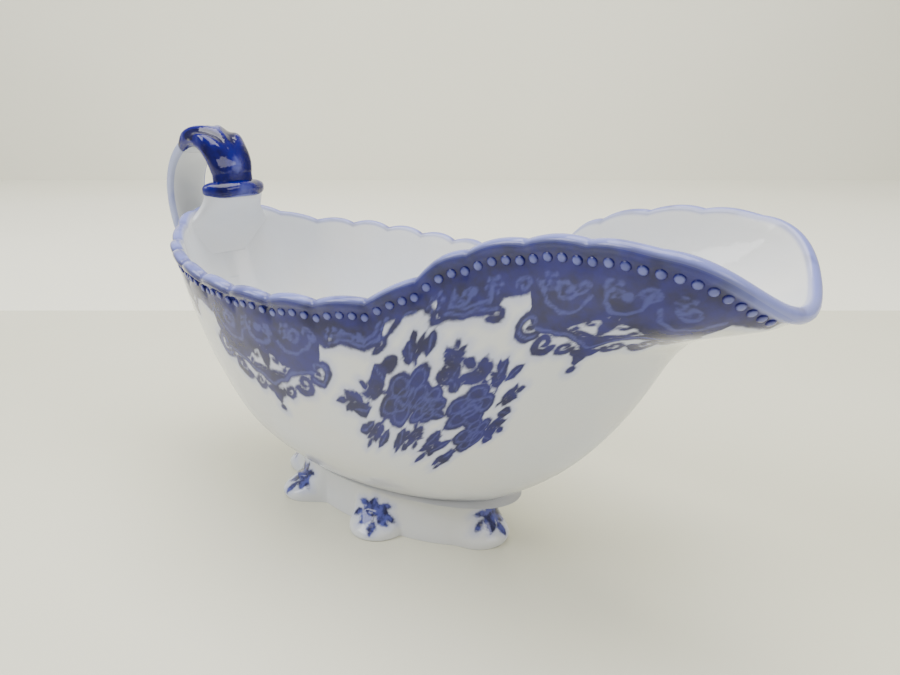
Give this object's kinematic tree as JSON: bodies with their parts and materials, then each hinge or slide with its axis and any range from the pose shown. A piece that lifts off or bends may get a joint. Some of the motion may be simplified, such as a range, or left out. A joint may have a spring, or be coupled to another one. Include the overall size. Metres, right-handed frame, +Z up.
{
  "type": "gravy boat",
  "caption": "Footed earthenware gravy boat with a long pouring lip, scalloped rim, beaded edge and a loop handle moulded with a leaf.",
  "frame": {"origin": "middle of the foot, on the table", "axes": "+X towards the pouring lip, +Z up, +Y to the left of someone facing along +X"},
  "size_m": [0.2141, 0.0908, 0.1102],
  "materials": {
    "glazed_body": "glossy glaze over blurred cobalt print",
    "blue_relief": "glossy glaze over cobalt blue"
  },
  "bodies": {
    "root": {"bowl": "glazed_body", "foot": "glazed_body", "handle_strap": "glazed_body", "handle_leaf": "blue_relief", "handle_collar": "blue_relief", "handle_neck": "blue_relief", "beads_near": "blue_relief", "beads_far": "blue_relief"}
  },
  "joints": []
}
